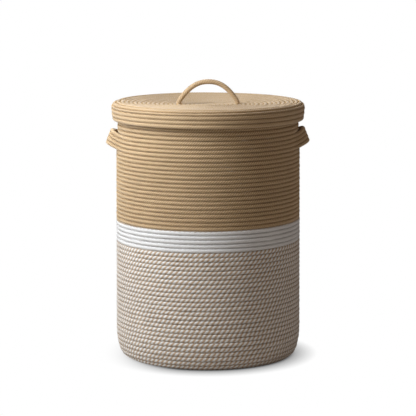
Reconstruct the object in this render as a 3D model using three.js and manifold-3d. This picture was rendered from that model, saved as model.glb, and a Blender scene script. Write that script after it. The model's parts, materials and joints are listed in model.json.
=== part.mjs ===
// A lidded laundry basket of coiled rope, in millimetres, +Z up, standing on z = 0 with its axis on Z.
// The two side handles lie on the X axis. The rope climbs one row per turn, mostly across the back (+Y).
import * as THREE from 'three';
import { mergeVertices } from 'three/addons/utils/BufferGeometryUtils.js';
import Module from 'manifold-3d';

const wasm = await Module();
wasm.setup();

// Ropes and rows
const wallThickness = 9.5;
const grooveDepth = 1.8;
const twoToneRow = 9.6;
const whiteRow = 9.66;
const tanRow = 9;
const lidRow = 9.2;

// Basket
const wallRadius = 199.5;
const neckInset = 2.9;
const cornerRadius = 34;
const cornerRows = 5;
const lowerWallRows = 23;
const whiteRows = 5;
const upperWallRows = 17;
const rimRows = 6;

// Side handles: four rows bow out of the wall at each side
const handleRows = 4;
const handleLength = 146;
const bowOut = { bottom: 23.2, top: 12.2 };
const bowUp = { bottom: 10.6, top: 7.6 };

// Lid
const lidClearance = 1.2;
const skirtRows = 3;
const skirtTaper = 2.7;
const lidCorner = { width: 16, height: 13, rows: 2.4 };
const lidDish = 7.5;
const lidTopRows = 23;

// Rope loop on the lid, and its knots beneath
const loopDiameter = 10.2;
const loopSpan = 127;
const loopShift = 1.1;
const loopRise = 43;
const archPower = 2.6;
const footInset = 1;
const holeClearance = 0.3;
const knotDiameter = 30;
const knotHeight = 17;

// Gap between pieces that touch
const seam = 0.3;

// Unevenness of the climb round a turn: two sine terms that leave most of it across the back
const climbSway = { once: 1.23, twice: 0.25 };

// Steps round the basket, round the rope of the loop and along it
const turnSteps = 24;
const frontArcSteps = 12;
const handleArcSteps = 10;
const ropeSides = 12;
const loopSteps = 22;
const knotSides = 16;

// Heights that follow from the sizes above
const lowerWallTop = cornerRadius + lowerWallRows * twoToneRow;
const whiteTop = lowerWallTop + whiteRows * whiteRow;
const windowBottom = whiteTop + upperWallRows * tanRow;
const windowTop = windowBottom + handleRows * tanRow;
const rimTop = windowTop + rimRows * tanRow;
const floorRadius = wallRadius - cornerRadius;
const rimRadius = wallRadius - neckInset;
const skirtBottomRadius = rimRadius + lidClearance + wallThickness;
const lidRadius = skirtBottomRadius + skirtTaper;
const dishRadius = lidRadius - lidCorner.width;
const rimInnerRadius = rimRadius - wallThickness;
const lidEdgeHeight = rimTop + seam + wallThickness + dishDrop(rimInnerRadius);
const lidCornerHeight = lidEdgeHeight - lidCorner.height;
const skirtBottom = lidCornerHeight - skirtRows * lidRow;

const ropeRadius = loopDiameter / 2;
const hingeX = loopSpan / 2;
const stubX = hingeX + footInset;
const stubTop = lidSurface(stubX);
const hingeHeight = stubTop + seam + ropeRadius;

// Depth of the lid's top below its edge, which sags towards the middle
function dishDrop(radius) {
  return lidDish * (1 - (radius / dishRadius) ** 3);
}

function lidSurface(radius) {
  return lidEdgeHeight - dishDrop(radius);
}

// Height of a row, in rows, against its height at the front, for an angle measured from the back
function climb(fromBack) {
  const sway = climbSway.once * Math.sin(fromBack) + climbSway.twice * Math.sin(2 * fromBack);
  return (fromBack + sway) / (2 * Math.PI) - 0.5;
}

function mix(a, b, share) {
  return a + (b - a) * share;
}

function evenAngles(steps) {
  const angles = [];
  for (let i = 0; i < steps; i += 1) angles.push((2 * Math.PI * i) / steps);
  return angles;
}

// One coil of rope sewn row to row, as a closed shell with a spiral of ridges on its ridged face.
// outline(row, side) gives [radius, height] of that face, counted in rows of rope, with side the angle to
// the nearer handle. The other face is plain, lies a wall's thickness behind it, and has a ring at each of
// plainRows. fromBack lists the angles round the coil from the back. No point lies outside lowest to highest.
function coil({
  rows, outline, plainRows, fromBack = evenAngles(turnSteps), lowest = -Infinity, highest = Infinity,
}) {
  const points = [];
  const indices = [];
  const known = new Map();
  const count = fromBack.length;

  function face(row, column, depth) {
    const side = sideAngle(fromBack[column]);
    const step = 0.01;
    const [radius, height] = outline(row, side);
    const [r0, h0] = outline(Math.max(row - step, 0), side);
    const [r1, h1] = outline(Math.min(row + step, rows), side);
    const length = Math.hypot(r1 - r0, h1 - h0);
    const r = radius - (depth * (h1 - h0)) / length;
    const z = THREE.MathUtils.clamp(height + (depth * (r1 - r0)) / length, lowest, highest);
    const angle = fromBack[column] + Math.PI / 2;
    return [r * Math.cos(angle), r * Math.sin(angle), z];
  }

  function vertex(kind, row, column, depth) {
    const onAxis = outline(row, 0)[0] < 1e-6;
    const key = onAxis ? `${kind} axis` : `${kind} ${row.toFixed(4)} ${column}`;
    if (!known.has(key)) {
      known.set(key, points.length / 3);
      const [x, y, z] = face(row, column, depth);
      points.push(onAxis ? 0 : x, onAxis ? 0 : y, z);
    }
    return known.get(key);
  }

  // A ridged point: the groove is deepest where two rows meet and the ridge is highest between
  function ridged(line, column) {
    const wrapped = column % count;
    const rise = climb(fromBack[wrapped]) + (column === count ? 1 : 0);
    const row = THREE.MathUtils.clamp(line + rise, 0, rows);
    const phase = row - rise;
    const fromGroove = Math.abs(phase - Math.round(phase));
    return vertex('ridged', row, wrapped, grooveDepth * (1 - 2 * fromGroove));
  }

  function plain(level, column) {
    return vertex('plain', plainRows[level], column % count, wallThickness);
  }

  function triangle(a, b, c) {
    if (a !== b && b !== c && c !== a) indices.push(a, b, c);
  }

  function quad(a, b, c, d) {
    triangle(a, b, c);
    triangle(a, c, d);
  }

  for (let column = 0; column < count; column += 1) {
    const next = column + 1;
    for (let line = -1; line < rows + 1; line += 0.5) {
      quad(ridged(line, column), ridged(line, next), ridged(line + 0.5, next), ridged(line + 0.5, column));
    }
    for (let level = 0; level < plainRows.length - 1; level += 1) {
      quad(plain(level, next), plain(level, column), plain(level + 1, column), plain(level + 1, next));
    }
    const last = plainRows.length - 1;
    quad(plain(0, column), plain(0, next), ridged(-1, next), ridged(-1, column));
    if (outline(rows, 0)[0] > 1e-6) {
      quad(ridged(rows + 1, column), ridged(rows + 1, next), plain(last, next), plain(last, column));
    }
  }
  const geometry = new THREE.BufferGeometry();
  geometry.setAttribute('position', new THREE.Float32BufferAttribute(points, 3));
  geometry.setIndex(indices);
  return geometry;
}

// Angle to the nearer handle, for an angle measured from the back
function sideAngle(fromBack) {
  const quarter = Math.PI / 2;
  return Math.min(Math.abs(fromBack - quarter), Math.abs(fromBack - 3 * quarter));
}

// Booleans with manifold-3d, for the holes in the lid and for the ends of the loop
function toSolid(geometry) {
  geometry.deleteAttribute('normal');
  geometry.deleteAttribute('uv');
  const closed = mergeVertices(geometry);
  const vertProperties = new Float32Array(closed.attributes.position.array);
  const triVerts = new Uint32Array(closed.index.array);
  return new wasm.Manifold(new wasm.Mesh({ numProp: 3, vertProperties, triVerts }));
}

function toGeometry(solid) {
  const mesh = solid.getMesh();
  const geometry = new THREE.BufferGeometry();
  geometry.setAttribute('position', new THREE.Float32BufferAttribute(mesh.vertProperties, 3));
  geometry.setIndex(Array.from(mesh.triVerts));
  return geometry;
}

function uprightCylinder(radius, bottom, top, x) {
  const geometry = new THREE.CylinderGeometry(radius, radius, top - bottom, ropeSides);
  geometry.rotateX(Math.PI / 2);
  geometry.translate(x, 0, (bottom + top) / 2);
  return toSolid(geometry);
}

// Levels of the plain face: even steps from one row to another
function evenRows(first, last, steps) {
  return Array.from({ length: steps + 1 }, (_, i) => mix(first, last, i / steps));
}

// Floor: a flat coil that rests on the ground, plain above and below
function baseCoil() {
  const edge = floorRadius - seam;
  const disc = new THREE.CylinderGeometry(edge, edge, wallThickness, turnSteps);
  disc.rotateX(Math.PI / 2);
  disc.translate(0, 0, wallThickness / 2);
  return toGeometry(toSolid(disc));
}

// Round bottom edge: rows that turn up from the floor to the wall along a quarter circle
function bottomEdge() {
  const outline = (row) => {
    const turn = (Math.PI / 2) * (row / cornerRows);
    return [floorRadius + cornerRadius * Math.sin(turn), cornerRadius * (1 - Math.cos(turn))];
  };
  const plainRows = evenRows(0, cornerRows, 4);
  return coil({ rows: cornerRows, outline, plainRows, highest: cornerRadius });
}

// An upright ring of rows between two heights, with a seam's gap at its foot
function wallRing(rows, bottom, top, radius) {
  const outline = (row) => [radius, mix(bottom + seam, top, row / rows)];
  return coil({ rows, outline, plainRows: [0, rows] });
}

// Four rows that follow the wall at the front and back and bow out and up at each side, clear of the rows
// below and above, so that a hand goes in behind them. Their inner edge is trimmed where it passes the rim.
function handleBand() {
  const halfAngle = handleLength / 2 / wallRadius;
  const outline = (row, side) => {
    const share = row / handleRows;
    const swell = side < halfAngle ? Math.cos((Math.PI / 2) * (side / halfAngle)) ** 2 : 0;
    const radius = mix(wallRadius, rimRadius, share) + swell * mix(bowOut.bottom, bowOut.top, share);
    const lift = swell * mix(bowUp.bottom, bowUp.top * swell, share);
    return [radius, mix(windowBottom + seam, windowTop, share) + lift];
  };
  const plainRows = evenRows(0, handleRows, 2);
  const fromBack = bandAngles(halfAngle);
  const band = coil({ rows: handleRows, outline, plainRows, fromBack, lowest: windowBottom + seam });
  const trim = ring(rimInnerRadius - seam, rimRadius + seam, windowTop, windowTop + 2 * bowUp.top);
  return toGeometry(toSolid(band).subtract(trim));
}

// A plain upright ring
function ring(innerRadius, outerRadius, bottom, top) {
  const corners = [
    [innerRadius, bottom],
    [outerRadius, bottom],
    [outerRadius, top],
    [innerRadius, top],
    [innerRadius, bottom],
  ];
  const geometry = new THREE.LatheGeometry(corners.map(([r, z]) => new THREE.Vector2(r, z)), turnSteps);
  geometry.rotateX(Math.PI / 2);
  return toSolid(geometry);
}

// Angles from the back with fine steps across each handle
function bandAngles(halfAngle) {
  const angles = [];
  const quarter = Math.PI / 2;
  const between = Math.PI - 2 * halfAngle;
  for (const start of [-quarter + halfAngle, quarter + halfAngle]) {
    for (let i = 0; i < frontArcSteps; i += 1) angles.push(start + (between * i) / frontArcSteps);
    const arc = start + between;
    for (let i = 0; i < handleArcSteps; i += 1) angles.push(arc + (2 * halfAngle * i) / handleArcSteps);
  }
  return angles.map((angle) => (angle + 2 * Math.PI) % (2 * Math.PI)).sort((a, b) => a - b);
}

// Rows of the lid's skirt, widening upwards from the rim
function lidSkirt() {
  const outline = (row) => {
    const share = row / skirtRows;
    return [mix(skirtBottomRadius, lidRadius, share), mix(skirtBottom, lidCornerHeight - seam, share)];
  };
  return coil({ rows: skirtRows, outline, plainRows: [0, skirtRows], highest: lidCornerHeight - seam });
}

// Round edge and dished top of the lid, as one spiral to the middle, with a hole for each end of the loop
function lidTop() {
  const outline = (row) => {
    if (row < lidCorner.rows) {
      const turn = (Math.PI / 2) * (row / lidCorner.rows);
      return [
        dishRadius + lidCorner.width * Math.cos(turn),
        lidCornerHeight + lidCorner.height * Math.sin(turn),
      ];
    }
    const radius = (dishRadius * (lidTopRows - row)) / (lidTopRows - lidCorner.rows);
    return [radius, lidSurface(radius)];
  };
  const onCorner = evenRows(0, lidCorner.rows, 2);
  const onDish = evenRows(lidCorner.rows, lidTopRows, 4).slice(1);
  const plainRows = [...onCorner, ...onDish];
  let solid = toSolid(coil({ rows: lidTopRows, outline, plainRows }));
  const below = stubTop - 2 * wallThickness;
  for (const x of footPlaces(stubX)) {
    solid = solid.subtract(uprightCylinder(ropeRadius + holeClearance, below, hingeHeight, x));
  }
  return toGeometry(solid);
}

// Places on X of the loop's left and right foot, at a distance from its middle
function footPlaces(distance) {
  return [loopShift - distance, loopShift + distance];
}

// The arch of the loop: its height falls with the given power of the distance from the middle
class Arch extends THREE.Curve {
  getPoint(t, target = new THREE.Vector3()) {
    const across = 2 * t - 1;
    const height = hingeHeight + loopRise * (1 - Math.abs(across) ** archPower);
    return target.set(loopShift + hingeX * across, 0, height);
  }
}

function ropeSection() {
  const points = [];
  for (let i = 0; i < ropeSides; i += 1) {
    const angle = (2 * Math.PI * i) / ropeSides;
    points.push(new THREE.Vector2(ropeRadius * Math.cos(angle), ropeRadius * Math.sin(angle)));
  }
  return new THREE.Shape(points);
}

function ball(x, z, radius) {
  const geometry = new THREE.SphereGeometry(radius, ropeSides, ropeSides / 2);
  geometry.rotateZ(Math.PI / 2);
  geometry.translate(x, 0, z);
  return toSolid(geometry);
}

// Free arch of the loop, with round feet centred on the line that it folds about
function lidLoop() {
  const options = { steps: loopSteps, bevelEnabled: false, extrudePath: new Arch() };
  const tube = toSolid(new THREE.ExtrudeGeometry(ropeSection(), options));
  const feet = footPlaces(hingeX).map((x) => ball(x, hingeHeight, ropeRadius));
  return toGeometry(tube.add(feet[0]).add(feet[1]));
}

// End of the loop's rope: straight down through the lid, with a stopper knot against the underside
function loopKnot(x) {
  const underside = stubTop - wallThickness - seam;
  const knot = new THREE.SphereGeometry(knotDiameter / 2, knotSides, knotSides / 2);
  knot.rotateX(Math.PI / 2);
  knot.scale(1, 1, knotHeight / knotDiameter);
  knot.translate(x, 0, underside - knotHeight / 2);
  const stub = uprightCylinder(ropeRadius, underside - knotHeight / 2, stubTop, x);
  return toGeometry(toSolid(knot).add(stub));
}

const finishes = {
  twoTone: { color: 0xc9b9a6, roughness: 0.9 },
  white: { color: 0xe8e6e2, roughness: 0.85 },
  tan: { color: 0xc8a678, roughness: 0.88 },
};

const basket = new THREE.Group();

function place(name, geometry, finish) {
  const material = new THREE.MeshStandardMaterial({ ...finish, metalness: 0, flatShading: true });
  geometry.computeVertexNormals();
  const mesh = new THREE.Mesh(geometry, material);
  mesh.name = name;
  basket.add(mesh);
}

place('base_coil', baseCoil(), finishes.twoTone);
place('bottom_edge', bottomEdge(), finishes.twoTone);
place('lower_wall', wallRing(lowerWallRows, cornerRadius, lowerWallTop, wallRadius), finishes.twoTone);
place('white_band', wallRing(whiteRows, lowerWallTop, whiteTop, wallRadius), finishes.white);
place('upper_wall', wallRing(upperWallRows, whiteTop, windowBottom, wallRadius), finishes.tan);
place('handle_band', handleBand(), finishes.tan);
place('rim_coil', wallRing(rimRows, windowTop, rimTop, rimRadius), finishes.tan);
place('lid_skirt', lidSkirt(), finishes.tan);
place('lid_top', lidTop(), finishes.tan);
place('lid_loop', lidLoop(), finishes.tan);
place('loop_knot_left', loopKnot(footPlaces(stubX)[0]), finishes.tan);
place('loop_knot_right', loopKnot(footPlaces(stubX)[1]), finishes.tan);

export default basket;
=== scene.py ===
# Laundry basket of coiled rope with a lid and a rope loop on it. Metres, +Z up, standing on z = 0, with
# the front towards -Y and a handle at each end of X.
import json
import math

import bpy
import numpy as np
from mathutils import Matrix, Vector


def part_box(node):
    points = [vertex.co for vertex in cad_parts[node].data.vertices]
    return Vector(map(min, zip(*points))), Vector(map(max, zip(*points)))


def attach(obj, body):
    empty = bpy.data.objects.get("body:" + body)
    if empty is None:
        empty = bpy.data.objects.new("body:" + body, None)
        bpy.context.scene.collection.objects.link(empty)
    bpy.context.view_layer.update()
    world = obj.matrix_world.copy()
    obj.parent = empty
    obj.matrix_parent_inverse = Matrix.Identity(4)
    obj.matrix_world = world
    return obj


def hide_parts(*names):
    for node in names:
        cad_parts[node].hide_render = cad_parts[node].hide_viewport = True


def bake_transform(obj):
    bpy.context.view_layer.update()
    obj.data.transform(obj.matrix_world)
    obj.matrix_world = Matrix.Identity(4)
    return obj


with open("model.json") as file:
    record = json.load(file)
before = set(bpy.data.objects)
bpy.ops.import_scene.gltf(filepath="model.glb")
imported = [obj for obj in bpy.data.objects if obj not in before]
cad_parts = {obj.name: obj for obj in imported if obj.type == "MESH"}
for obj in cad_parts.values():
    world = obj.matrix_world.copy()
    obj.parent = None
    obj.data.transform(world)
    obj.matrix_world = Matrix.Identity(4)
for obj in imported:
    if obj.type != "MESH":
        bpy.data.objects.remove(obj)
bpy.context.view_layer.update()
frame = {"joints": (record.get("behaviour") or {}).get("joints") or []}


# The view. The camera stands 4.4 m in front of the basket, looks slightly down on it and has a long lens,
# so the wall's sides stand nearly parallel in the picture.
picture_pixels = 416
focal_pixels = 2035
axis_pixel = 208.05
camera_place = (0, -4.397, 0.9816)
camera_dip = 8.542
view_data = bpy.data.cameras.new("view")
view_data.sensor_width = 36
view_data.lens = view_data.sensor_width * focal_pixels / picture_pixels
view_data.shift_x = (picture_pixels / 2 - axis_pixel) / picture_pixels
view = bpy.data.objects.new("view", view_data)
view.location = camera_place
view.rotation_euler = (math.radians(90 - camera_dip), 0, 0)
bpy.context.scene.collection.objects.link(view)
bpy.context.scene.camera = view


# Floor of the basket. One two-tone cotton rope of four strands, two white and two brown, is wound flat from
# the middle outwards, each turn sewn to the one before. The same rope then turns up and becomes the lower
# wall.
rope_radius = 0.00475
rope_bulge = 0.0002
row_squeeze = 1.1
strands = 4
rope_sides = 12
rope_step = 0.0021
middle_end = 0.15
two_tone_twist = (0.021, 0.12, 0.32, 0.52)
# Each colour pair holds a strand's crown colour, then a darker colour for the grooves between strands, which
# is painted shade.
white_cotton = ((0.75, 0.75, 0.74, 1), (0.62, 0.57, 0.51, 1))
brown_cotton = ((0.54, 0.375, 0.235, 1), (0.37, 0.23, 0.125, 1))
cotton_down = 0.3
free_climb = ((0,), (0,))
climb_terms = (1.23, 0.25)


def rope_row(turns, levels):
    """Row that the rope's centre has reached: one row a turn, counted so that the front has the whole rows
    and a half. Where the rope has to lie level, two sine terms of the angle from the back are added, which
    moves most of the climb to the back. Levels give some turns and the share of those terms at each."""
    angle = math.tau * turns
    first, second = climb_terms
    sway = np.interp(turns, *levels) * (first * np.sin(angle) + second * np.sin(2 * angle)) / math.tau
    return turns + sway


slope_step = 0.01


def wall_point(face, row, turns, depth):
    """Point in the wall: the face's radius and height at that row, moved in by the depth square to the
    profile, and turned about Z to the angle from the back."""
    angle = math.tau * turns
    radius, height = face(row, angle)
    lower_radius, lower_height = face(row - slope_step, angle)
    upper_radius, upper_height = face(row + slope_step, angle)
    run, rise = upper_radius - lower_radius, upper_height - lower_height
    slope = np.hypot(run, rise)
    radius = radius - depth * rise / slope
    height = height + depth * run / slope
    return np.stack((-radius * np.sin(angle), radius * np.cos(angle), height), -1)


def row_rise(face, row, turns, depth):
    """Vector from a quarter of a row below to a quarter above, and the height of a whole row."""
    rise = wall_point(face, row + 0.25, turns, depth) - wall_point(face, row - 0.25, turns, depth)
    return rise, 2 * np.linalg.norm(rise, axis=1)


chords_a_turn = 720


def even_steps(place, start, end, step):
    """Lengths along a wound line at even steps, and the turns at each, measured on short chords."""
    dense = np.linspace(start, end, 2 + int(chords_a_turn * (end - start)))
    run = np.concatenate(([0], np.cumsum(np.linalg.norm(np.diff(place(dense), axis=0), axis=1))))
    along = np.linspace(0, run[-1], 2 + int(run[-1] / step))
    return along, np.interp(along, run, dense)


def unit(vectors):
    """Each vector divided by its length."""
    return vectors / np.linalg.norm(vectors, axis=-1, keepdims=True)


def ripple(turns, waves):
    """Sum of sines of the turns, each with its size, its waves in a turn and its offset in radians."""
    return sum(size * np.sin(math.tau * rate * turns + offset) for size, rate, offset in waves)


hand_waver = ((0.00018, 2.37, 1), (0.00012, 6.61, 0))
lay_slack = ((0.30, 3.7, 0), (0.22, 9.13, 2))
least_share = 0.02
row_contact = 0.995


def coiled(face, start, end, twist, below=-np.inf, above=np.inf, levels=free_climb, phase=0.0):
    """Rope wound along a profile from one count of turns to another, as rings of points. A ring is an ellipse
    with a flattened crown and a lobe for each strand, turned once per lay of its length. It is pressed flat
    where it meets the rows beside it, and gets lower where the rows below and above leave less than a row.
    Two ripples make it stand in and out a little and turn unevenly, as a hand-sewn rope does. Twist holds
    the lay's length, the depth of the grooves between strands as a share of the radius, how much thicker
    every other strand is, and how round the crown is, from 0, flat, to 1."""
    lay, groove, lead, fullness = twist
    along, turns = even_steps(lambda t: wall_point(face, rope_row(t, levels), t, rope_radius), start, end,
                              rope_step)
    row = rope_row(turns, levels)
    centre = wall_point(face, row, turns, rope_radius)
    rise, pitch = row_rise(face, row, turns, rope_radius)
    forward = unit(np.gradient(centre, axis=0))
    upward = unit(rise - forward * np.sum(rise * forward, axis=1, keepdims=True))
    outward = np.cross(forward, upward)
    lowest = np.maximum(row - 0.5, below)
    highest = np.minimum(row + 0.5, above)
    share = np.clip(highest - lowest, least_share, 1)
    shift = ((highest + lowest) / 2 - row) * pitch
    strand = math.tau * np.arange(rope_sides) / rope_sides
    angle = strand + (math.tau * (along / lay) + ripple(turns, lay_slack) + phase)[:, None]
    lobe = 1 - groove * (1 - np.abs(np.sin(strands / 2 * strand) + lead) / (1 + lead))
    half = (share * pitch / 2)[:, None]
    crown = np.sign(np.cos(angle)) * np.abs(np.cos(angle)) ** fullness
    reach = ((rope_radius + rope_bulge) * np.sqrt(share))[:, None]
    out = reach * lobe * crown + ripple(turns, hand_waver)[:, None]
    flat = row_contact * half
    up = np.clip(row_squeeze * half * lobe * np.sin(angle), -flat, flat) + shift[:, None]
    rings = centre[:, None] + out[..., None] * outward[:, None] + up[..., None] * upward[:, None]
    return rings, along


def cord_skin(name, *lengths):
    """Closed skins through rings of points, with a flat end at each side, as one piece. Its UV map holds the
    length along the cord in metres and the share of the way round its strands."""
    corners, faces, places = [], [], []
    total = 0
    for rings, along in lengths:
        count, sides = rings.shape[:2]
        ring, side = np.meshgrid(np.arange(count - 1), np.arange(sides), indexing="ij")
        ring, side = ring.ravel(), side.ravel()
        beside = (side + 1) % sides
        quads = np.stack((ring * sides + side, (ring + 1) * sides + side,
                          (ring + 1) * sides + beside, ring * sides + beside), -1) + total
        first = np.arange(sides) + total
        last = np.arange(count * sides - 1, (count - 1) * sides - 1, -1) + total
        corners.append(rings.reshape(-1, 3))
        faces += quads.tolist() + [first.tolist(), last.tolist()]
        flank = np.stack((along[ring], side / sides, along[ring + 1], side / sides,
                          along[ring + 1], (side + 1) / sides, along[ring], (side + 1) / sides), -1)
        around = np.arange(2 * sides) % sides / sides
        places += [flank.ravel(), np.stack((np.full(2 * sides, along[0]), around), -1).ravel()]
        total += count * sides
    mesh = bpy.data.meshes.new(name)
    mesh.from_pydata(np.concatenate(corners), [], faces)
    mesh.uv_layers.new(name="lay").data.foreach_set("uv", np.concatenate(places))
    mesh.polygons.foreach_set("use_smooth", np.ones(len(mesh.polygons), bool))
    mesh.update()
    piece = bpy.data.objects.new(name, mesh)
    bpy.context.scene.collection.objects.link(piece)
    return piece


class Value:
    """A number that varies over a surface. Arithmetic on it adds Math nodes to its finish."""

    def __init__(self, finish, socket):
        self.finish = finish
        self.socket = socket

    def math(self, operation, first, second=0.0):
        node = self.finish.node("ShaderNodeMath", {"operation": operation}, {0: first, 1: second})
        return Value(self.finish, node.outputs[0])

    def __add__(self, other):
        return self.math("ADD", self, other)

    def __radd__(self, other):
        return self.math("ADD", other, self)

    def __rsub__(self, other):
        return self.math("SUBTRACT", other, self)

    def __mul__(self, other):
        return self.math("MULTIPLY", self, other)

    def __rmul__(self, other):
        return self.math("MULTIPLY", other, self)

    def __abs__(self):
        return self.math("ABSOLUTE", self)

    def sine(self):
        return self.math("SINE", self)

    def spread(self, amount):
        """Factor from 1 less half the amount to 1 plus half of it, as the number goes from 0 to 1."""
        return 1 - amount / 2 + self * amount

    def between(self, low, high):
        """Smooth step from 0 at low to 1 at high."""
        node = self.finish.node("ShaderNodeMapRange", {"interpolation_type": "SMOOTHSTEP"},
                                {"Value": self, "From Min": low, "From Max": high})
        return Value(self.finish, node.outputs[0])


class Finish:
    """A material, or the world, and its nodes."""

    def __init__(self, name, kind=bpy.data.materials):
        self.owner = kind.new(name)
        self.owner.use_nodes = True
        self.tree = self.owner.node_tree
        self.tree.nodes.clear()

    def node(self, kind, settings=None, sockets=None):
        """Any node: its type, its settings, then the values or links of its sockets."""
        node = self.tree.nodes.new(kind)
        for name, setting in (settings or {}).items():
            setattr(node, name, setting)
        for key, value in (sockets or {}).items():
            if isinstance(value, Value):
                value = value.socket
            if isinstance(value, bpy.types.NodeSocket):
                self.tree.links.new(value, node.inputs[key])
            else:
                node.inputs[key].default_value = value
        return node

    def noise(self, vector, scale, detail=2.0):
        """Noise from 0 to 1 at a scale in waves per unit of the vector."""
        node = self.node("ShaderNodeTexNoise", {"noise_dimensions": "3D"},
                         {"Vector": vector, "Scale": scale, "Detail": detail})
        return Value(self, node.outputs[0])

    def stretched(self, vector, *scale):
        """Vector with each of its parts scaled by its own number."""
        return self.node("ShaderNodeMapping", sockets={"Vector": vector, "Scale": scale}).outputs[0]

    def blend(self, factor, first, second):
        """Colour that goes from the first to the second as the factor goes from 0 to 1."""
        return self.node("ShaderNodeMix", {"data_type": "RGBA"}, {0: factor, 6: first, 7: second}).outputs[2]

    def scaled(self, colour, factor):
        """Colour times a number."""
        node = self.node("ShaderNodeVectorMath", {"operation": "SCALE"}, {0: colour, "Scale": factor})
        return node.outputs[0]


crown_edge = 0.8
colour_edge = 0.12
yarns_round = 34
fibre_waves = (260.0, 34.0, 1.0)
drift_waves = (9.0, 0.0, 1.0)
fuzz_waves = 2600.0
patch_waves = 16.0


def rope_finish(name, twist, down, first, second=None):
    """Cotton rope. A strand goes from the second colour of its pair in the groove beside it to the first on
    its crown, and where there is a second pair, every other strand has it. The darker second colour in the
    grooves between strands is painted shade. The yarns run parallel to the rope, as in any laid rope, so
    their lines depend only on the angle round it. The tone varies along the rope and from place to place.
    Down is the weight of the fine loose fibres that light the rope's edges."""
    lay, lead = twist[0], twist[2]
    finish = Finish(name)
    lay_map = finish.node("ShaderNodeUVMap", {"uv_map": "lay"}).outputs[0]
    parts = finish.node("ShaderNodeSeparateXYZ", sockets={0: lay_map})
    along, turn = Value(finish, parts.outputs[0]), Value(finish, parts.outputs[1])
    place = finish.node("ShaderNodeTexCoord").outputs["Object"]
    weave = (turn * (math.tau * strands / 2)).sine() + lead
    crown = abs(weave).between(0.0, crown_edge)
    yarns = ((turn + along * (1 / lay)) * (math.tau * yarns_round)).sine()
    fibres = finish.noise(finish.stretched(lay_map, *fibre_waves), 1.0, 3.0)
    fuzz = finish.noise(place, fuzz_waves)
    patches = finish.noise(place, patch_waves)
    drift = finish.noise(finish.stretched(lay_map, *drift_waves), 1.0)
    # Painted shade: each strand goes to the darker second colour of its pair in the grooves between strands.
    colour = finish.blend(crown, first[1], first[0])
    if second:
        other = finish.blend(crown, second[1], second[0])
        colour = finish.blend(weave.between(-colour_edge, colour_edge), other, colour)
    tone = fibres.spread(0.24) * patches.spread(0.14) * drift.spread(0.1)
    colour = finish.scaled(colour, tone * (0.97 + yarns * 0.03))
    height = crown * 0.5 + yarns * 0.16 + fibres * 0.5 + fuzz * 0.3
    bump = finish.node("ShaderNodeBump", sockets={"Strength": 0.7, "Distance": 0.0005, "Height": height})
    shader = finish.node("ShaderNodeBsdfPrincipled", sockets={
        "Base Color": colour, "Roughness": 0.5 + fuzz * 0.12, "Normal": bump.outputs[0],
        "Specular IOR Level": 0.5, "Sheen Weight": down, "Sheen Roughness": 0.5})
    finish.node("ShaderNodeOutputMaterial", sockets={"Surface": shader.outputs[0]})
    return finish.owner


def settle(piece, body, slot, finish, *nodes):
    """The piece moves with a body, has a finish and stands for some nodes. The slot is not used."""
    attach(piece, body)
    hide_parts(*nodes)
    piece.data.materials.append(finish)


seam = 0.0003
floor_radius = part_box("base_coil")[1].x + seam
floor_rows = 17
lower_wall_rows = 28
lower_wall_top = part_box("lower_wall")[1].z
wall_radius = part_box("white_band")[1].x
rows_settle = 0.002
window_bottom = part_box("upper_wall")[1].z - rows_settle
wall_flare = 0.0018
bend_rows = 7.6
bend_height = 0.0589
bend_width = wall_radius - floor_radius
bend_fullness = 0.45
bend_steps = 400


def flared(height):
    """How far the wall stands out at a height: most at the top of the bend round the bottom, and evenly less
    from there down to the floor and up to the hand windows."""
    return np.interp(height, (0, bend_height, window_bottom), (0, wall_flare, 0))


# Share of the bend's length that lies below each of some angles from 0 to a quarter turn.
bend_turn = np.linspace(0, math.pi / 2, bend_steps)
bend_chords = np.hypot(np.diff(bend_width * np.sin(bend_turn) ** bend_fullness),
                       np.diff(bend_height * np.cos(bend_turn)))
bend_run = np.concatenate(([0], np.cumsum(bend_chords))) / np.sum(bend_chords)


def basket_face(row, angle):
    """Radius and height of the basket's outer face, by rows from the middle of its floor: the flat floor, the
    bend round the bottom, then the wall. In the bend the radius grows by a power of the sine of a quarter
    turn, the height by 1 less its cosine, and the rows lie at even lengths along it."""
    bend = np.interp((row - floor_rows) / bend_rows, bend_run, bend_turn)
    straight = np.maximum(row - floor_rows - bend_rows, 0) / (lower_wall_rows - bend_rows)
    height = bend_height * (1 - np.cos(bend)) + straight * (lower_wall_top - bend_height)
    radius = np.minimum(row / floor_rows, 1) * floor_radius + bend_width * np.sin(bend) ** bend_fullness
    return radius + flared(height), height


def on_the_ground(rings, along):
    """Rings with nothing below the ground, where the rope is pressed flat."""
    rings[..., 2] = np.maximum(rings[..., 2], 0)
    return rings, along


two_tone = rope_finish("two_tone_rope", two_tone_twist, cotton_down, white_cotton, brown_cotton)
floor_coil = on_the_ground(*coiled(basket_face, middle_end, floor_rows, two_tone_twist))
settle(cord_skin("floor_rope", floor_coil), "basket", "two_tone_rope", two_tone, "base_coil")


# Round bottom edge and lower wall. The two-tone rope goes on, turns up and climbs a row with each turn. It is
# drawn in three lengths that meet end to end at the back.
edge_rows = 5
edge_top = floor_rows + edge_rows
lower_wall_split = edge_top + 12
wall_top = floor_rows + lower_wall_rows
for name, node, start, end in (("bottom_edge_rope", "bottom_edge", floor_rows, edge_top),
                               ("lower_wall_rope_1", "lower_wall", edge_top, lower_wall_split),
                               ("lower_wall_rope_2", "lower_wall", lower_wall_split, wall_top)):
    length = on_the_ground(*coiled(basket_face, start, end, two_tone_twist, phase=end))
    settle(cord_skin(name, length), "basket", "two_tone_rope", two_tone, node)


# Thread of the two-tone rows. Light brown cotton thread is sewn in a zigzag over every groove between two
# rows, from the floor's first turns up, and shows on the outside and the inside.
thread_radius = 0.00045
thread_sides = 3
thread_depth = 0.0009
thread_start = 0.3
stitch_length = 0.0055
stitch_reach = 0.0016
outward_step = 0.001
thread_waves = 1800.0


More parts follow.
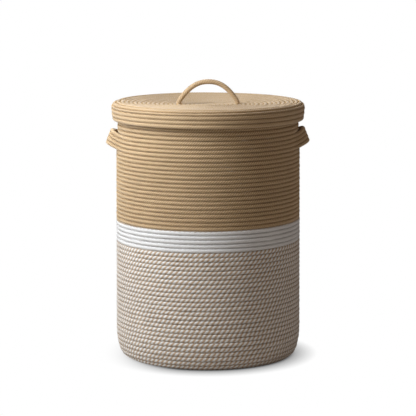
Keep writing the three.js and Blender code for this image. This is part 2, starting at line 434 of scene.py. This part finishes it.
def thread_finish(name, light, dark):
    """Twisted cotton thread: a colour that varies between two tones by fine noise."""
    finish = Finish(name)
    fuzz = finish.noise(finish.node("ShaderNodeTexCoord").outputs["Object"], thread_waves)
    bump = finish.node("ShaderNodeBump", sockets={"Strength": 0.5, "Distance": 0.0002, "Height": fuzz})
    shader = finish.node("ShaderNodeBsdfPrincipled", sockets={
        "Base Color": finish.blend(fuzz, dark, light), "Roughness": 0.8, "Normal": bump.outputs[0],
        "Specular IOR Level": 0.2})
    finish.node("ShaderNodeOutputMaterial", sockets={"Surface": shader.outputs[0]})
    return finish.owner


def seam_line(face, start, end, depth, levels):
    """Zigzag along the groove above the rope, as rings of points: the rope's row plus a half, and the
    stitch's reach to each side in turn, at a depth in the wall."""
    along, turns = even_steps(lambda t: wall_point(face, rope_row(t, levels) + 0.5, t, depth), start, end,
                              stitch_length)
    row = rope_row(turns, levels) + 0.5
    row = row + stitch_reach / row_rise(face, row, turns, depth)[1] * (-1) ** np.arange(len(row))
    centre = wall_point(face, row, turns, depth)
    outward = unit(wall_point(face, row, turns, depth - outward_step) - centre)
    sideways = unit(np.cross(outward, np.gradient(centre, axis=0)))
    corner = math.tau * np.arange(thread_sides)[:, None] / thread_sides
    rings = centre[:, None] + thread_radius * np.cos(corner) * outward[:, None]
    return rings + thread_radius * np.sin(corner) * sideways[:, None], along


def seams(face, *stretches, levels=free_climb):
    """Seams of some stretches of groove, given as turns, on both faces of the wall."""
    depths = (thread_depth, 2 * rope_radius - thread_depth)
    return [seam_line(face, start, end, depth, levels) for start, end in stretches for depth in depths]


brown_thread = thread_finish("brown_thread", (0.58, 0.48, 0.37, 1), (0.42, 0.32, 0.23, 1))
thread = cord_skin("two_tone_thread", *seams(basket_face, (thread_start, wall_top)))
settle(thread, "basket", "two_tone_rope", brown_thread, "base_coil", "bottom_edge", "lower_wall")


# White band. Five rows of plain white cotton rope, the same thickness and lay, are sewn on above the two-tone
# rope with white thread.
white_rows = 5
white_twist = (0.0212, 0.1, 0, 0.5)
white_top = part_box("white_band")[1].z - rows_settle
# Crown colour, then a darker groove colour between strands that is painted shade.
bleached_cotton = ((0.74, 0.74, 0.745, 1), (0.7, 0.69, 0.68, 1))
bleached_down = 0.2


def upright_face(rows, bottom, top, radius):
    """Face of an upright ring of rows: a radius, the wall's flare, and an even rise from bottom to top."""
    def face(row, angle):
        height = bottom + (top - bottom) * row / rows
        return radius + flared(height), height
    return face


white_face = upright_face(white_rows, lower_wall_top, white_top, wall_radius)
white = rope_finish("white_rope", white_twist, bleached_down, bleached_cotton)
white_thread = thread_finish("white_thread", (0.7, 0.69, 0.68, 1), (0.55, 0.53, 0.51, 1))
white_coil = coiled(white_face, 0, white_rows, white_twist)
settle(cord_skin("white_band_rope", white_coil), "basket", "white_rope", white, "white_band")
thread = cord_skin("white_band_thread", *seams(white_face, (0, white_rows - 1)))
settle(thread, "basket", "white_rope", white_thread, "white_band")


# Upper wall. Seventeen rows of tan cotton rope go from the white band to the bottom of the hand windows.
# It is drawn in two lengths. At each side its last row isn't sewn to the handle rows above.
# Crown colour, then a much darker groove colour between strands that is painted shade.
tan_cotton = ((0.61, 0.435, 0.245, 1), (0.27, 0.155, 0.065, 1))
tan_twist = (0.0216, 0.24, 0, 0.76)
upper_wall_rows = 17
upper_wall_split = 9
handle_length = 0.146
handle_share = handle_length / 2 / wall_radius / math.tau


def beside_handles(turn):
    """Stretches of one turn that lie between the handles: before, between and after its two sides."""
    return ((turn, turn + 0.25 - handle_share), (turn + 0.25 + handle_share, turn + 0.75 - handle_share),
            (turn + 0.75 + handle_share, turn + 1))


upper_face = upright_face(upper_wall_rows, white_top, window_bottom, wall_radius)
tan = rope_finish("tan_rope", tan_twist, cotton_down, tan_cotton)
tan_thread = thread_finish("tan_thread", (0.56, 0.39, 0.21, 1), (0.44, 0.29, 0.14, 1))
for part, (start, end) in enumerate(((0, upper_wall_split), (upper_wall_split, upper_wall_rows))):
    length = coiled(upper_face, start, end, tan_twist, phase=part)
    settle(cord_skin(f"upper_wall_rope_{part + 1}", length), "basket", "tan_rope", tan, "upper_wall")
thread = cord_skin("upper_wall_thread", *seams(white_face, (white_rows - 1, white_rows)),
                   *seams(upper_face, (0, upper_wall_rows - 1), *beside_handles(upper_wall_rows - 1)))
settle(thread, "basket", "tan_rope", tan_thread, "upper_wall")


# Handle rows. The next four rows of the tan rope are left unsewn from those below and above at both sides,
# and made longer there, so that they bow out and up as a strap that a hand goes behind.
handle_rows = 4
rim_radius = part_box("rim_coil")[1].x
window_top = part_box("rim_coil")[0].z - seam - rows_settle
bow_out_bottom = 0.0232
bow_out_top = 0.0136
bow_up_bottom = 0.0126
bow_up_top = 0.0092
bow_up_point = 0.4


def handle_face(row, angle):
    """Face of the handle rows: the straight wall, plus outward and upward bows that rise as a squared cosine
    across each handle and go evenly from the bottom row's bow to the top row's. The upward bow is that
    squared cosine to a power, 1 at the bottom row and a little more at the top row, which points it."""
    quarter = math.pi / 2
    round_once = np.mod(angle, math.tau)
    side = np.minimum(np.abs(round_once - quarter), np.abs(round_once - 3 * quarter))
    across = np.clip(side * wall_radius / (handle_length / 2), 0, 1)
    swell = np.cos(quarter * across) ** 2
    share = np.clip(row / handle_rows, 0, 1)
    radius = wall_radius + (rim_radius - wall_radius) * row / handle_rows
    height = window_bottom + seam + (window_top - window_bottom - seam) * row / handle_rows
    out = swell * (bow_out_bottom + (bow_out_top - bow_out_bottom) * share)
    up = swell ** (1 + bow_up_point * share) * (bow_up_bottom + (bow_up_top - bow_up_bottom) * share)
    return radius + out, height + up


handle_coil = coiled(handle_face, 0, handle_rows, tan_twist, phase=2)
settle(cord_skin("handle_rope", handle_coil), "basket", "tan_rope", tan, "handle_band")
thread = cord_skin("handle_thread",
                   *seams(handle_face, (0, handle_rows - 1), *beside_handles(handle_rows - 1)))
settle(thread, "basket", "tan_rope", tan_thread, "handle_band")


# Rim. Six more rows of the tan rope, a little narrower than the wall, so that the lid's skirt fits over them.
# The rope's end is cut on a slant and sewn down on the last row at the back, which keeps the rim level.
rim_rows = 6
rim_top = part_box("rim_coil")[1].z
tail = 0.16
levelling = ((0, rim_rows), (0, 1))
rim_face = upright_face(rim_rows, window_top, rim_top, rim_radius)
rim_coil = coiled(rim_face, 0, rim_rows + tail, tan_twist, above=rim_rows, levels=levelling, phase=3)
settle(cord_skin("rim_rope", rim_coil), "basket", "tan_rope", tan, "rim_coil")
thread = cord_skin("rim_thread", *seams(rim_face, (0, rim_rows - 1), levels=levelling))
settle(thread, "basket", "tan_rope", tan_thread, "rim_coil")


# Lid. One tan rope, wound from the bottom of the skirt up over the round edge and in to the middle, where
# the top sags a little. Its outer end is cut on a slant at the back, its inner end lies in the middle.
skirt_rows = 3
lid_rows = 23
lid_corner_rows = 2.4
lid_corner_width = 0.016
lid_corner_height = 0.013
lid_dish = 0.0075
lid_twist = (0.0216, 0.1, 0, 0.56)
# Crown colour, then a darker groove colour between strands that is painted shade.
lid_cotton = ((0.557, 0.395, 0.225, 1), (0.388, 0.257, 0.128, 1))
skirt_taper = 0.0027
dish_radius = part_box("lid_skirt")[1].y - lid_corner_width
skirt_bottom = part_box("lid_skirt")[0].z
skirt_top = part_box("lid_skirt")[1].z + seam


def lid_face(row, angle):
    """Face of the lid, by rows from the bottom of the skirt: the skirt widens evenly, then comes a quarter of
    an ellipse, then the top, whose depth below its edge is 1 less the cube of the radius's share of the
    dish's."""
    share = np.minimum(row / skirt_rows, 1)
    beyond = row - skirt_rows
    bend = math.pi / 2 * np.clip(beyond / lid_corner_rows, 0, 1)
    inward = np.maximum(beyond - lid_corner_rows, 0) / (lid_rows - lid_corner_rows)
    radius = dish_radius * (1 - inward) + lid_corner_width * np.cos(bend) - skirt_taper * (1 - share)
    sag = np.where(inward > 0, lid_dish * (1 - np.abs(1 - inward) ** 3), 0)
    height = skirt_bottom + (skirt_top - skirt_bottom) * share + lid_corner_height * np.sin(bend) - sag
    return radius, height


lid_end = skirt_rows + lid_rows - middle_end
lid_tan = rope_finish("lid_rope", lid_twist, cotton_down, lid_cotton)
lid_levelling = ((0, skirt_rows), (1, 0))
skirt_coil = coiled(lid_face, -tail, skirt_rows, lid_twist, below=0, levels=lid_levelling)
settle(cord_skin("lid_skirt_rope", skirt_coil), "lid", "tan_rope", lid_tan, "lid_skirt")
lid_coil = coiled(lid_face, skirt_rows, lid_end, lid_twist, levels=lid_levelling, phase=1)
settle(cord_skin("lid_top_rope", lid_coil), "lid", "tan_rope", lid_tan, "lid_top")
thread = cord_skin("lid_thread", *seams(lid_face, (0, lid_end - 1), levels=lid_levelling))
settle(thread, "lid", "tan_rope", tan_thread, "lid_skirt", "lid_top")


# Loop. One length of the tan rope stands on the lid as an arch to lift it by. Both ends go down through the
# lid and are knotted beneath it, and the knots are pulled tight against its underside.
loop_radius = 0.0055
loop_groove = 0.06
loop_lobe = 0.7
loop_sides = 24
loop_step = 0.001
arch_points = 241
arch_rise = 0.043
arch_power = 2.3
right_inset = 0.0024
arch_lean = 0.0013
knot_unit = 0.0036
knot_rope_radius = 0.0042
knot_turns = (0.55, 5.05)
knot_points = 60
stub_points = 12
stub_top = -0.002
stub_bottom = 0.007
tail_points = 6
tail_length = 0.009
turn_points = 8
fold = next(joint for joint in frame["joints"] if joint["name"] == "loop_fold")
hinge_height = fold["pos_m"][2]
left_foot, right_foot = [(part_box(node)[0].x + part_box(node)[1].x) / 2 - inset
                         for node, inset in (("loop_knot_left", 0.0), ("loop_knot_right", right_inset))]
knot_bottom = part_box("loop_knot_right")[0].z
knot_height = 0.017


def knotted_end(foot, side):
    """Line of the rope's end from the foot down, its guide vectors and its radii. It runs straight down, then
    along most of a trefoil, x = sin t + 2 sin 2t, y = cos t - 2 cos 2t, z = -sin 3t, and ends in a tail.
    The stub's top is given from the hinge's height, its bottom from the knot's middle."""
    middle = knot_bottom + knot_height / 2
    stub = np.linspace(hinge_height + stub_top, middle + stub_bottom, stub_points)
    straight = np.stack((0 * stub, 0 * stub, stub - middle), -1)
    turn = np.linspace(*knot_turns, knot_points)
    lift = knot_height / 2 - knot_rope_radius
    knot = np.stack((knot_unit * (np.sin(turn) + 2 * np.sin(2 * turn)),
                     knot_unit * (np.cos(turn) - 2 * np.cos(2 * turn)), -lift * np.sin(3 * turn)), -1)
    way = unit(knot[-1] - knot[-2])
    loose = knot[-1] + np.linspace(0, tail_length, tail_points)[1:, None] * way
    line = np.concatenate((straight, knot, loose)) * (side, 1, 1) + (foot, 0, middle)
    share = np.clip((np.arange(len(line)) - len(straight)) / turn_points, 0, 1)[:, None]
    guides = share * (0, 0, 1) + (1 - share) * (0, 1, 0)
    radii = loop_radius + (knot_rope_radius - loop_radius) * share[:, 0]
    return line, guides, radii


def laid_rope(line, guides, radii, lay, groove, sides, step, smoothing=9):
    """Rope of round section along a line, as rings: the line is taken at even steps and smoothed by a moving
    mean, and each ring has a lobe for each strand and turns once per lay. Guides set which way is up."""
    run = np.concatenate(([0], np.cumsum(np.linalg.norm(np.diff(line, axis=0), axis=1))))
    along = np.linspace(0, run[-1], 1 + int(run[-1] / step))
    kernel = np.ones(smoothing) / smoothing
    edge = smoothing // 2

    def even(values):
        return np.convolve(np.pad(np.interp(along, run, values), edge, "edge"), kernel, "valid")

    centre = np.stack([even(line[:, axis]) for axis in range(3)], -1)
    guide = np.stack([even(guides[:, axis]) for axis in range(3)], -1)
    forward = unit(np.gradient(centre, axis=0))
    sideways = unit(guide - forward * np.sum(guide * forward, axis=1, keepdims=True))
    outward = np.cross(forward, sideways)
    strand = math.tau * np.arange(sides) / sides
    angle = strand + (math.tau * along / lay)[:, None]
    lobe = np.abs(np.sin(strands / 2 * strand)) ** loop_lobe
    reach = even(radii)[:, None] * (1 - groove * (1 - lobe))
    rings = centre[:, None] + (reach * np.cos(angle))[..., None] * outward[:, None]
    return rings + (reach * np.sin(angle))[..., None] * sideways[:, None], along


across = np.linspace(-1, 1, arch_points)
arch_across = np.interp(across, (-1, 1), (left_foot, right_foot)) + arch_lean * (1 - across ** 2)
arch_height = hinge_height + arch_rise * (1 - np.abs(across) ** arch_power)
arch = np.stack((arch_across, 0 * across, arch_height), -1)
left_line, left_guides, left_radii = knotted_end(left_foot, -1)
right_line, right_guides, right_radii = knotted_end(right_foot, 1)
loop_line = np.concatenate((left_line[::-1], arch, right_line))
loop_guides = np.concatenate((left_guides[::-1], np.tile((0.0, 1.0, 0.0), (len(arch), 1)), right_guides))
loop_radii = np.concatenate((left_radii[::-1], np.full(len(arch), loop_radius), right_radii))
loop_rope = cord_skin("loop_rope", laid_rope(loop_line, loop_guides, loop_radii, tan_twist[0], loop_groove,
                                             loop_sides, loop_step))
loop_rope.data.materials.append(lid_tan)
give = 0.006
hinge_height - give
hinge_height + give
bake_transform(loop_rope)
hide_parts("lid_loop", "loop_knot_left", "loop_knot_right")


# Studio. A pale floor that shows white to the camera but for the soft shade where the basket meets it,
# which is lighter on the lamps' side. A large lamp stands at the front left, another low at the left and a
# small one above the back, under an even sky.
floor_reach = 8
floor_shade = 0.05
lit_from = 0.05
lit_to = 0.25
floor_grey = (0.56, 0.53, 0.5, 1)
floor_data = bpy.data.meshes.new("studio_floor")
floor_data.from_pydata([(-floor_reach, -floor_reach, 0), (floor_reach, -floor_reach, 0),
                        (floor_reach, floor_reach, 0), (-floor_reach, floor_reach, 0)], [], [(0, 1, 2, 3)])
studio_floor = bpy.data.objects.new("studio_floor", floor_data)
bpy.context.scene.collection.objects.link(studio_floor)
paper = Finish("studio_floor")
seen = paper.node("ShaderNodeLightPath").outputs["Is Camera Ray"]
shade = paper.node("ShaderNodeAmbientOcclusion", sockets={"Distance": floor_shade})
open_sky = Value(paper, shade.outputs["AO"])
floor_place = paper.node("ShaderNodeTexCoord").outputs["Object"]
floor_parts = paper.node("ShaderNodeSeparateXYZ", sockets={0: floor_place})
lit_side = (0 - Value(paper, floor_parts.outputs[0])).between(lit_from, lit_to)
shown = paper.node("ShaderNodeEmission", sockets={"Strength": open_sky + (1 - open_sky) * lit_side})
matt = paper.node("ShaderNodeBsdfDiffuse", sockets={"Color": floor_grey})
mixed = paper.node("ShaderNodeMixShader", sockets={0: seen, 1: matt.outputs[0], 2: shown.outputs[0]})
paper.node("ShaderNodeOutputMaterial", sockets={"Surface": mixed.outputs[0]})
floor_data.materials.append(paper.owner)

sky_warmth = (1, 0.87, 0.77, 1)
sky_strength = 0.28
sky = Finish("sky", bpy.data.worlds)
bpy.context.scene.world = sky.owner
seen = sky.node("ShaderNodeLightPath").outputs["Is Camera Ray"]
glow = sky.node("ShaderNodeBackground", sockets={"Color": sky_warmth, "Strength": sky_strength})
blank = sky.node("ShaderNodeBackground", sockets={"Color": (1, 1, 1, 1)})
mixed = sky.node("ShaderNodeMixShader", sockets={0: seen, 1: glow.outputs[0], 2: blank.outputs[0]})
sky.node("ShaderNodeOutputWorld", sockets={"Surface": mixed.outputs[0]})

lamp_cool = (0.96, 1, 1.03)
lamp_aim = (0, 0, 0.3)


def lamp(name, azimuth, elevation, distance, width, height, power):
    """Flat lamp that faces the basket from an azimuth, counted from the camera towards the left. Its place is
    the point it aims at plus its distance along the direction of the azimuth and elevation."""
    data = bpy.data.lights.new(name, "AREA")
    data.shape = "RECTANGLE"
    data.size = width
    data.size_y = height
    data.energy = power
    data.color = lamp_cool
    piece = bpy.data.objects.new(name, data)
    level = math.cos(math.radians(elevation))
    direction = np.array((-math.sin(math.radians(azimuth)) * level,
                          -math.cos(math.radians(azimuth)) * level, math.sin(math.radians(elevation))))
    piece.location = np.array(lamp_aim) + distance * direction
    piece.rotation_euler = (math.radians(90 - elevation), 0, -math.radians(azimuth))
    bpy.context.scene.collection.objects.link(piece)


lamp("left_lamp", 53, 41, 1.15, 0.45, 0.8, 14.3)
lamp("side_lamp", 105, 5, 3.0, 1.3, 0.8, 18)
lamp("back_lamp", 160, 60, 3.0, 0.35, 0.35, 24)

bpy.context.scene.view_settings.view_transform = "Standard"
